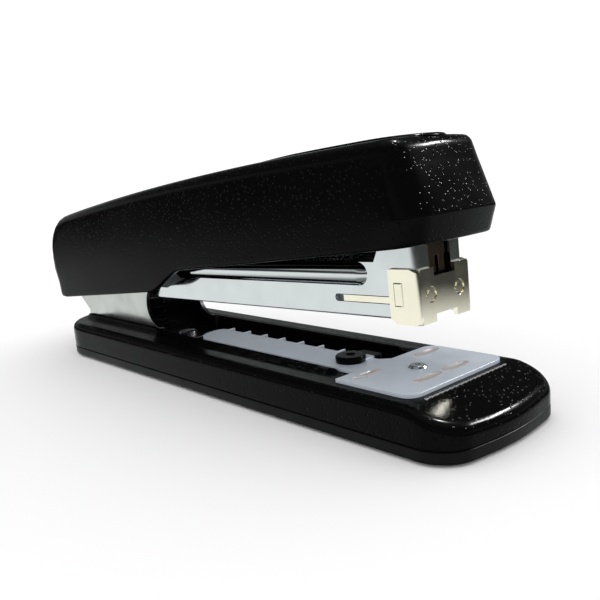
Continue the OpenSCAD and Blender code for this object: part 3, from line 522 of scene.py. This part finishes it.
def cover_mesh():
    ring = cover_ring()
    n = len(ring)
    spine_x = np.clip(ring[:, 0], *SPINE)
    heading = ring - np.stack([spine_x, np.zeros(n)], 1)
    heading /= np.linalg.norm(heading, axis=1)[:, None]
    low = cover_low_edge(ring[:, 0], ring[:, 1])
    # Height where the walls' level rays end and the rays that turn upwards begin, from rear to front
    wall_top = np.interp(
        ring[:, 0], [-16.5, -8, 4, 130, 136],
        [5, 7, float(cover_top(4)) - 5, float(cover_top(130)) - 5, FRONT_WALL],
    )

    def across(z, inset):
        """A row where level rays at z leave the form."""
        start = np.stack([spine_x, np.zeros(n), z], 1)
        return hits(start, np.stack([heading[:, 0], heading[:, 1], np.zeros(n)], 1), inset)

    def over(last, steps, inset):
        """Rows from the last one over the top, by shares of the angle up to the vertical."""
        start = np.stack([spine_x, np.zeros(n), np.full(n, SPINE_Z)], 1)
        flat = np.hypot(last[:, 0] - spine_x, last[:, 1])
        first = np.arctan2(last[:, 2] - SPINE_Z, flat)
        rows = []
        for t in steps:
            a = first + (math.pi / 2 - first) * t
            direction = np.stack([heading[:, 0] * np.cos(a), heading[:, 1] * np.cos(a), np.sin(a)], 1)
            rows.append(hits(start, direction, inset))
        return rows

    crease = (CREASE_Z - COVER_HIGH) / (FRONT_WALL - COVER_HIGH)
    shares = [0.06, 0.15, 0.25, crease - 0.025, crease, crease + 0.025, 0.48, 0.62, 0.76, 0.9, 1.0]
    outer = [across(low + EDGE_ROUND, 0.0)]
    outer += [across(low + (wall_top - low) * share, 0.0) for share in shares]
    dense = [0.035 * k for k in range(1, 16)]
    outer += over(outer[-1], dense + [0.58, 0.64, 0.72, 0.8, 0.88, 0.95, 1.0], 0.0)
    inner_wall = wall_top - 1.5 - low
    inner = [across(low + EDGE_ROUND + inner_wall * share, SHELL) for share in (0.0, 0.3, 0.6, 1.0)]
    inner += over(inner[-1], [0.1, 0.2, 0.3, 0.42, 0.55, 0.7, 0.85, 1.0], SHELL)
    edge = [
        across(low + EDGE_CUT, EDGE_CUT),
        across(low, EDGE_ROUND),
        across(low, SHELL - EDGE_ROUND),
        across(low + EDGE_CUT, SHELL - EDGE_CUT),
    ]
    rows = inner[::-1] + edge[::-1] + outer
    return loop_rows([tilted(row, HANDLE_TILT) for row in rows])


verts, faces = cover_mesh()
cover = new_object("handle_cover_shell", verts, faces, "handle", MAT["gloss_black"], sharp=60)
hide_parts("handle_cover")


# ---------------------------------------------------------------- inlay on the cover

PANEL_X0, PANEL_HALF, PANEL_MID = 90.0, 9.0, 130.7  # rear edge, half width, middle of the round front
PANEL_LENGTH = PANEL_MID + PANEL_HALF - PANEL_X0
PANEL_REAR_H, PANEL_RISE, PANEL_RAMP = 0.05, 0.4, 20  # height at the rear, rise from there and its length
PANEL_FALL = 0.1  # how far its front end drops
PANEL_EDGE_R, PANEL_EDGE_SINK = 0.8, 0.3  # rounding of its edge, and how deep that starts in the cover
PANEL_CROWN = 0.35  # share of the cover's crown that its top follows


def panel_ring(inset):
    """The panel's outline, square at the rear and round at the front, or one inset from it."""
    half = max(PANEL_HALF - inset, 0.02)
    rear = PANEL_X0 + inset
    flat = [(rear, -half * k / 6) for k in range(6)]
    side = [(x, -half) for x in np.linspace(rear, PANEL_MID, 26)]
    near = np.concatenate([flat, side, arc(PANEL_MID, 0, half, -90, 0, 16)[1:]])
    return np.concatenate([near, near[1:-1][::-1] * [1, -1]])


def inlay_mesh():
    base = panel_ring(0.0)
    foot = cover_top(base[:, 0]) - cover_crown(base[:, 1])
    rows = [at_height(base, foot + level) for level in (-0.8, -0.1)]
    for inset in (0.0, 0.05, 0.2, 0.45, 0.8, 1.6, 3.2, 5.5, PANEL_HALF):
        ring = panel_ring(inset)
        along = ring[:, 0] - PANEL_X0
        ramp = PANEL_REAR_H + PANEL_RISE * smooth(along / PANEL_RAMP)
        edge = math.sqrt(max(0.0, 1 - (1 - min(inset / PANEL_EDGE_R, 1)) ** 2))
        fall = PANEL_FALL * (along / PANEL_LENGTH) ** 12
        top = cover_top(ring[:, 0]) - PANEL_CROWN * cover_crown(ring[:, 1])
        rows.append(at_height(ring, top + ramp * edge - fall - PANEL_EDGE_SINK * (1 - edge)))
    bottom = rows[0] * [1, 0, 1]
    return loop_rows([tilted(row, HANDLE_TILT) for row in [bottom] + rows])


verts, faces = inlay_mesh()
inlay = new_object("cover_grip_panel", verts, faces, "handle", MAT["gloss_black"], sharp=60)
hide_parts("cover_inlay")


# ---------------------------------------------------------------- base

SEAM = 3.0  # height of the joint between moulding and tray
EDGE_R, EDGE_STEPS = 2.0, 8  # rounding of the moulding's upper edge
RIM_WIDTH = 3.6  # from that rounding in to the foot of the lips
RIDGE_X = ANVIL_X + 11.1
NOSE_DROP = 3.0 / 9.7  # slope of the nose
BASE_REAR_R, BASE_FRONT_R, BASE_BOW = 15, 8, 60  # rear corners, front corners and front
INNER_BOW = 200  # front of the outlines within the top
RIDGE_SOFTNESS = 0.6
SIDE_SPAN = (BASE_X0 + BASE_REAR_R, 75.25)  # straight part of the outer outline's side
FIXED_SPAN = (-45, 44)  # part of the side where inner outlines have the outer one's X
LIP_END, LIP_FADE = 50.2, 2.4  # front end of the trough's lips, and how long they take to fade
TROUGH_Z = 6.0  # floor of the trough
# Outlines from the moulding's edge in to the plate's bed, past the ridge: front end, half width, front radius
DECK = (
    (80, 16.6, 5), (RIDGE_X + 2.5, 15.4, 4), (RIDGE_X + 0.6, 15.0, 3.4),
    (RIDGE_X, 14.8, 3.3), (RIDGE_X - 0.6, 14.6, 3.2), (RIDGE_X - 2.5, 14.3, 3),
)
# The tray from the pad's recess, round its foot and up its side: inset from the outline, height
TRAY_LEVELS = (
    (1.6, 1.38), (1.6, 0.62), (1.45, 0.5), (0.6, 0.5), (0.2, 0.62), (0.03, 0.9), (0, 1.2),
    (0, SEAM - 0.25), (0.06, SEAM - 0.1), (0.3, SEAM - 0.02),
)


def base_top(x):
    """Height of the rims: level, then sloping down over the nose past a soft ridge."""
    d = np.asarray(x, float) - RIDGE_X
    return RIM - NOSE_DROP * (np.sqrt(d * d + RIDGE_SOFTNESS ** 2) + d) / 2


def base_side_x(a, b):
    """X along the base's side, closer together at the front end of the trough."""
    return np.concatenate([
        np.linspace(a, 35, 30)[1:],
        np.linspace(36, 56, 24),
        np.linspace(57.5, b, 14)[:-1],
    ])


def base_ring(inset):
    """The base's outline, or one inset from it."""
    rear_r, front_r = BASE_REAR_R - inset, BASE_FRONT_R - inset
    return plan(BASE_X0 + inset, NOSE_X - inset, HALF_W - inset, rear_r, front_r, BASE_BOW, base_side_x)


def base_inner_ring(x0, x1, hw, r0, r1):
    """An outline within the base's top, with as many points as the base's own."""
    def side_x(a, b):
        outer = [SIDE_SPAN[0], *FIXED_SPAN, SIDE_SPAN[1]]
        return np.interp(base_side_x(*SIDE_SPAN), outer, [a, *FIXED_SPAN, b])

    return plan(x0, x1, hw, r0, r1, INNER_BOW, side_x)


def middle_line(ring, x0, x1, z):
    """Points on the base's middle line, one for each of an outline's."""
    return at_height(np.stack([np.clip(ring[:, 0], x0, x1), ring[:, 1] * 0], 1), z)


def base_middle(z):
    """The middle line that closes the moulding underneath and the tray on both sides."""
    return middle_line(base_ring(0), BASE_X0 + 16, 72, z)


def lip_height(ring):
    """Height of the trough's lips, which fade into the rims at the front."""
    return RIM + (LIP - RIM) * smooth((LIP_END - ring[:, 0]) / LIP_FADE)


def base_wall():
    """Rows up the moulding's outer wall and over its edge."""
    outer = base_ring(0)
    rows = [at_height(base_ring(0.25), SEAM + 0.02), at_height(base_ring(0.05), SEAM + 0.12)]
    foot = SEAM + 0.25
    wall_top = base_top(outer[:, 0]) - EDGE_R
    rows += [at_height(outer, foot + (wall_top - foot) * share) for share in (0.0, 0.1, 0.5, 0.9, 1.0)]
    for k in range(1, EDGE_STEPS + 1):
        a = math.radians(90 * k / EDGE_STEPS)
        ring = base_ring(EDGE_R * (1 - math.cos(a)))
        rows.append(at_height(ring, base_top(ring[:, 0]) - EDGE_R * (1 - math.sin(a))))
    return rows


def base_deck():
    """Rows over the rims and the nose, in to the plate's bed."""
    rows = []
    for x1, half, r1 in DECK:
        share = (HALF_W - EDGE_R - half) / RIM_WIDTH
        rear_r = BASE_REAR_R - EDGE_R - RIM_WIDTH * share
        ring = base_inner_ring(BASE_X0 + EDGE_R + 0.1 * share, x1, half, rear_r, r1)
        rows.append(at_height(ring, base_top(ring[:, 0])))
    return rows


def base_trough():
    """Rows over the lips, down the trough's walls and to the middle of its floor."""
    foot = base_inner_ring(BASE_X0 + 2.15, 57.0, 13.4, 9.4, 3)
    crest = base_inner_ring(BASE_X0 + 3.6, 55.6, 10.45, 3.0, 5.3)
    edge = base_inner_ring(BASE_X0 + 3.9, 55.2, 10.08, 2.6, 5.1)
    wall = base_inner_ring(BASE_X0 + 4.0, 55.0, 10.0, 2.5, 5)
    cove = base_inner_ring(BASE_X0 + 4.2, 54.8, 9.8, 2.3, 4.8)
    floor = base_inner_ring(BASE_X0 + 4.7, 54.3, 9.3, 2.0, 4.3)
    slope = (foot + crest) / 2
    middle = middle_line(floor, BASE_X0 + 9, 50, TROUGH_Z)
    return [
        at_height(foot, RIM),
        at_height(slope, (RIM + lip_height(slope)) / 2),
        at_height(crest, lip_height(crest)),
        at_height((crest + edge) / 2, lip_height(edge) - 0.03),
        at_height(edge, lip_height(edge) - 0.12),
        at_height(wall, lip_height(wall) - 0.35),
        at_height(wall, TROUGH_Z + 0.7),
        at_height(cove, TROUGH_Z + 0.2),
        at_height(floor, TROUGH_Z),
        at_height((floor + middle[:, :2]) / 2, TROUGH_Z),
        middle,
    ]


def base_mesh():
    return loop_rows(base_wall() + base_deck() + base_trough(), close_first=base_middle(SEAM + 0.02))


def tray_mesh():
    rows = [at_height(base_ring(inset), z) for inset, z in TRAY_LEVELS]
    return loop_rows(rows, base_middle(TRAY_LEVELS[0][1]), base_middle(TRAY_LEVELS[-1][1]))


# Ledge along the trough's near side, under the tail of the plate
ledge = block(ANVIL_X - 71, 50, -10.1, -8.5, TROUGH_Z - 0.1, RIM - 0.02)
verts, faces = joined([base_mesh(), ledge])
shell = new_object("base_moulding", verts, faces, "base", MAT["gloss_black"], sharp=50)
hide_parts("base_shell")

verts, faces = tray_mesh()
tray = new_object("base_under_tray", verts, faces, "base", MAT["tray_black"], sharp=50)
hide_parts("base_tray")


# ---------------------------------------------------------------- metal pieces from the CAD, edges broken

SHADED_HALF = 9.4  # the frame's faces nearer the middle than this, between its ears, are painted dark as shade
CLIP_SHADE_Y = 0.1  # the clip keeps its satin steel where it lies on the plate and is painted black as shade beyond the plate's edge


def in_groove(polygon):
    """True on the slopes of the grooves and dimples that are pressed into the plate about the anvil."""
    near_anvil = ANVIL_X - 9 < polygon.center.x / MM
    below_top = RIM + 0.1 < polygon.center.z / MM < LIP - 0.004
    return near_anvil and below_top and 0.5 < polygon.normal.z < 0.9999


# The grooves' slopes take a pale steel: partly their shinier pressed finish, partly a painted highlight for
# their reflection
plate = refined("anvil_plate", MAT["satin_steel"], 0.07)
second_look(plate, MAT["pressed_finish_and_sheen"], in_groove)

# Painted shade: the frame's inner faces between its ears take dark steel
ears = refined("base_frame", MAT["frame_steel"], 0.18)
second_look(ears, MAT["dark_steel"], lambda polygon: abs(polygon.center.y) / MM < SHADED_HALF)

# Painted shade: beyond the plate's edge the steel clip is matte black
clip = refined("depth_stop_clip", MAT["satin_steel"], 0.08, cut_y=CLIP_SHADE_Y)
second_look(clip, MAT["matte_black"], lambda polygon: polygon.center.y / MM > CLIP_SHADE_Y)

# How wide each other piece's edges are broken
EDGE_WIDTH = {
    "anvil_rivet": 0.1, "depth_stop_knob": 0.12, "staple_rail": 0.1, "staple_pusher": 0.2,
    "handle_frame": 0.2, "driver_bracket": 0.15, "driver_blade": 0.08, "driver_clip": 0.12,
    "pivot_pin": 0.3, "pin_clips": 0.1, "rear_rod_bracket": 0.15, "front_rod_bracket": 0.15,
    "handle_spring": 0.1, "rail_rivets": 0.08, "driver_rivets": 0.1, "frame_screws": 0.12,
    "tray_screws": 0.12, "cover_screws": 0.12, "spring_rivet": 0.1, "guide_rod": 0.15,
}
for node, width in EDGE_WIDTH.items():
    piece = refined(node, MAT[SLOT_OF[node]], width)

channel_half = HEAD_HALF - HEAD_SHEET
channel_folds = [(channel_half, {"x": HEAD_X - HEAD_SHEET}, 1.5), (channel_half, {"z": 0.0}, 0.5)]
channel = refined("magazine_channel", MAT["chrome"], 0.14, folds=channel_folds)
head = refined("staple_head", MAT["nickel"], 0.12, folds=[(HEAD_HALF, {"x": HEAD_X}, 0.9)])


# ---------------------------------------------------------------- stamps, ribs and scale marks

STAMP_X, STAMP_Z = (131.9, 133.9), (2.7, 7.3)  # in the magazine's own axes
STAMP_SUNK, STAMP_HIGH, STAMP_EDGE = 0.1, 0.22, 0.2


def stamp(side):
    """The small raised block on one side of the staple head."""
    root, face = side * (HEAD_HALF - STAMP_SUNK), side * (HEAD_HALF + STAMP_HIGH)
    return raised(*STAMP_X, root, face, *STAMP_Z, STAMP_EDGE)


verts, faces = joined([stamp(side) for side in (-1, 1)])
verts = tilted(verts + [0, 0, MAGAZINE_Z0], MAGAZINE_TILT)
stamps = new_object("head_side_stamps", verts, faces, "magazine", MAT["nickel"], sharp=25)

RIB_PITCH, RIB_HALF, RIB_PAIRS = 0.5, 0.11, 26  # spacing, half thickness, ribs to each side of the middle
RIB_REACHES = (0.12, 0.3, 0.2)  # half lengths, in turn


def rib(i):
    """One of the fine ribs along the ridge of the base's nose, light grey as a painted highlight along the
    ridge.
    """
    y, reach = RIB_PITCH * i, RIB_REACHES[i % len(RIB_REACHES)]
    z = float(base_top(RIDGE_X)) - 0.1
    return block(RIDGE_X - reach, RIDGE_X + reach, y - RIB_HALF, y + RIB_HALF, z, z + 0.2)


# The ribs' light grey is a painted highlight along the ridge
verts, faces = joined([rib(i) for i in range(-RIB_PAIRS, RIB_PAIRS + 1)])
ribs = new_object("nose_ribs", verts, faces, "base", MAT["ridge_sheen_grey"], sharp=25)


MARKS, FIRST_MARK_X = 7, ANVIL_X - 24
MARK_HALF, MARK_Y = 0.14, (-0.6, 1.95)


def mark(i):
    """One printed line of the scale, on the fingers along the plate's far edge."""
    x = FIRST_MARK_X - i * TICK_PITCH
    return block(x - MARK_HALF, x + MARK_HALF, *MARK_Y, LIP - 0.02, LIP + 0.04)


verts, faces = joined([mark(i) for i in range(MARKS)])
marks = new_object("scale_marks", verts, faces, "base", MAT["print_white"], sharp=25)


# ---------------------------------------------------------------- coil springs

def spring_mesh(turns, height, radius, wire, per_turn=28, sides=10):
    """Wire wound round the Z axis, with its end turns closer together."""
    n = turns * per_turn
    i = np.arange(n + 1) / n
    a = 2 * math.pi * turns * i
    rise = height * (i - 0.35 / turns * np.sin(2 * math.pi * i))
    centre = np.stack([radius * np.cos(a), radius * np.sin(a), rise], 1)
    out = np.stack([np.cos(a), np.sin(a), a * 0], 1)
    up = np.array([0, 0, 1.0])
    b = np.linspace(0, 2 * math.pi, sides, endpoint=False)
    section = np.cos(b)[None, :, None] * out[:, None] + np.sin(b)[None, :, None] * up
    points = (centre[:, None] + wire * section).reshape(-1, 3)
    faces = []
    for row in range(0, n * sides, sides):
        for j in range(sides):
            k = (j + 1) % sides
            faces.append((row + j, row + k, row + sides + k, row + sides + j))
    faces += [tuple(range(sides))[::-1], tuple(n * sides + j for j in range(sides))]
    return points, faces


# The return spring takes dark steel as painted shade, down inside the base
verts, faces = spring_mesh(turns=5, height=10.3, radius=3.2, wire=0.45)
verts = verts + [PIVOT[0] + 27, 0, 7.7]
spring = new_object("return_coil", verts, faces, "base", MAT["dark_steel"], sharp=60)
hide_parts("return_spring")
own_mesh(spring)

COIL_X0, COIL_LENGTH = 61.5, 57.2  # of the pusher's spring, along the magazine
ROD_Z = 9.7 + MAGAZINE_Z0
verts, faces = spring_mesh(turns=24, height=COIL_LENGTH, radius=1.62, wire=0.26, per_turn=20, sides=8)
verts = tilted(np.stack([COIL_X0 + verts[:, 2], verts[:, 1], ROD_Z + verts[:, 0]], 1), MAGAZINE_TILT)
spring = new_object("pusher_coil", verts, faces, "magazine", MAT["spring_steel"], sharp=60)
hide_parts("pusher_spring")
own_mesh(spring)

# The CAD nodes that are still shown take their slot's material
for node, obj in NODES.items():
    if not obj.hide_render:
        for slot in obj.material_slots:
            slot.material = MAT[SLOT_OF[node]]


# ---------------------------------------------------------------- floor, light and camera

FLOOR_REACH = 6  # metres from the middle to each side


def plain(name, color, rough):
    """A material that only scatters light."""
    made = bpy.data.materials.new(name)
    made.use_nodes = True
    shader = made.node_tree.nodes["Principled BSDF"]
    shader.inputs["Base Color"].default_value = (*color, 1)
    shader.inputs["Roughness"].default_value = rough
    shader.inputs["Specular IOR Level"].default_value = 0.0
    return made


floor_mesh = bpy.data.meshes.new("floor")
corners = [(x * FLOOR_REACH, y * FLOOR_REACH, 0) for x, y in ((-1, -1), (1, -1), (1, 1), (-1, 1))]
floor_mesh.from_pydata(corners, [], [(0, 1, 2, 3)])
floor_mesh.materials.append(plain("floor_white", (0.95, 0.95, 0.95), 0.7))
floor = bpy.data.objects.new("floor", floor_mesh)
bpy.context.scene.collection.objects.link(floor)
floor.visible_glossy = False

# What shines sees a pale table, a dark room and bright panels above it, by the height of the direction that
# it looks in: degrees above the horizon, and brightness
ROOM = (
    (-90, 0.2), (-38, 0.25), (-26, 0.9), (-16, 1.0), (-11, 1.0), (-8.5, 0.85), (-5.9, 0.05),
    (4.5, 0.05), (8.5, 0.5), (14, 0.5), (19, 0.1), (44, 0.08), (60, 0.7), (90, 0.8),
)
ROOM_TINT = (0.97, 0.99, 1.0)
ROOM_LEAN = (0.025, 0.025, 1.0)  # the room's upward direction, leant a little
STUDIO_LEVEL = 1.12


def room_color(nodes, links):
    """The room's colour, by the height of the direction that a surface looks in."""
    direction = nodes.new("ShaderNodeTexCoord")
    leant = nodes.new("ShaderNodeVectorMath")
    leant.operation = "DOT_PRODUCT"
    leant.inputs[1].default_value = ROOM_LEAN
    links.new(direction.outputs["Generated"], leant.inputs[0])
    height = nodes.new("ShaderNodeMapRange")
    height.inputs["From Min"].default_value = -1
    height.inputs["From Max"].default_value = 1
    links.new(leant.outputs["Value"], height.inputs["Value"])
    ramp = nodes.new("ShaderNodeValToRGB")
    links.new(height.outputs["Result"], ramp.inputs["Fac"])
    elements = ramp.color_ramp.elements
    ends = {-90: 0, 90: -1}
    for angle, level in ROOM:
        place = (math.sin(math.radians(angle)) + 1) / 2
        stop = elements[ends[angle]] if angle in ends else elements.new(place)
        stop.color = (*[level * tint for tint in ROOM_TINT], 1)
    return ramp.outputs["Color"]


def light_world():
    """White all round for the eye and for matt light, and the room for what shines."""
    world = bpy.data.worlds.new("studio")
    bpy.context.scene.world = world
    world.use_nodes = True
    world.cycles.sampling_method = "NONE"
    nodes, links = world.node_tree.nodes, world.node_tree.links
    nodes.clear()
    seen = nodes.new("ShaderNodeBackground")
    seen.inputs["Color"].default_value = (1, 1, 1, 1)
    seen.inputs["Strength"].default_value = STUDIO_LEVEL
    shone = nodes.new("ShaderNodeBackground")
    links.new(room_color(nodes, links), shone.inputs["Color"])
    rays = nodes.new("ShaderNodeLightPath")
    pick = nodes.new("ShaderNodeMixShader")
    links.new(rays.outputs["Is Glossy Ray"], pick.inputs["Fac"])
    links.new(seen.outputs["Background"], pick.inputs[1])
    links.new(shone.outputs["Background"], pick.inputs[2])
    sky = nodes.new("ShaderNodeOutputWorld")
    links.new(pick.outputs["Shader"], sky.inputs["Surface"])


def panel(name, place, aim, size, watts):
    """A small bright lamp that only shining surfaces see."""
    light = bpy.data.lights.new(name, "AREA")
    light.energy = watts
    light.shape = "RECTANGLE"
    light.size, light.size_y = size
    lamp = bpy.data.objects.new(name, light)
    bpy.context.scene.collection.objects.link(lamp)
    lamp.location = place
    lamp.rotation_mode = "QUATERNION"
    lamp.rotation_quaternion = (Vector(aim) - Vector(place)).to_track_quat("-Z", "Y")
    lamp.visible_diffuse = False
    lamp.visible_camera = False


light_world()
LAMP_AIM = (0.05, 0, 0.03)
panel("lamp_over", (0.12, 0.32, 0.8), LAMP_AIM, (0.04, 0.04), 11.0)
panel("lamp_far", (0.35, 0.6, 0.5), LAMP_AIM, (0.25, 0.06), 10.0)

# Camera where the photographer stood
AZ, EL, ROLL = math.radians(48.72), math.radians(10.85), math.radians(-4.77)
CAMERA_AT = (153.06, -110.57, 54.02)
LENS = 42.98
back = Vector((math.sin(AZ) * math.cos(EL), -math.cos(AZ) * math.cos(EL), math.sin(EL)))
level_right = Vector((0, 0, 1)).cross(back).normalized()
level_up = back.cross(level_right)
right = level_right * math.cos(ROLL) + level_up * math.sin(ROLL)
up = level_up * math.cos(ROLL) - level_right * math.sin(ROLL)
camera_data = bpy.data.cameras.new("camera")
camera_data.sensor_width = 36
camera_data.lens = LENS
camera_data.clip_start = 0.005
camera = bpy.data.objects.new("camera", camera_data)
bpy.context.scene.collection.objects.link(camera)
turn = Matrix((right, up, back)).transposed()
camera.matrix_world = Matrix.Translation(Vector(CAMERA_AT) * MM) @ turn.to_4x4()
bpy.context.scene.camera = camera
bpy.context.scene.view_settings.view_transform = "Standard"
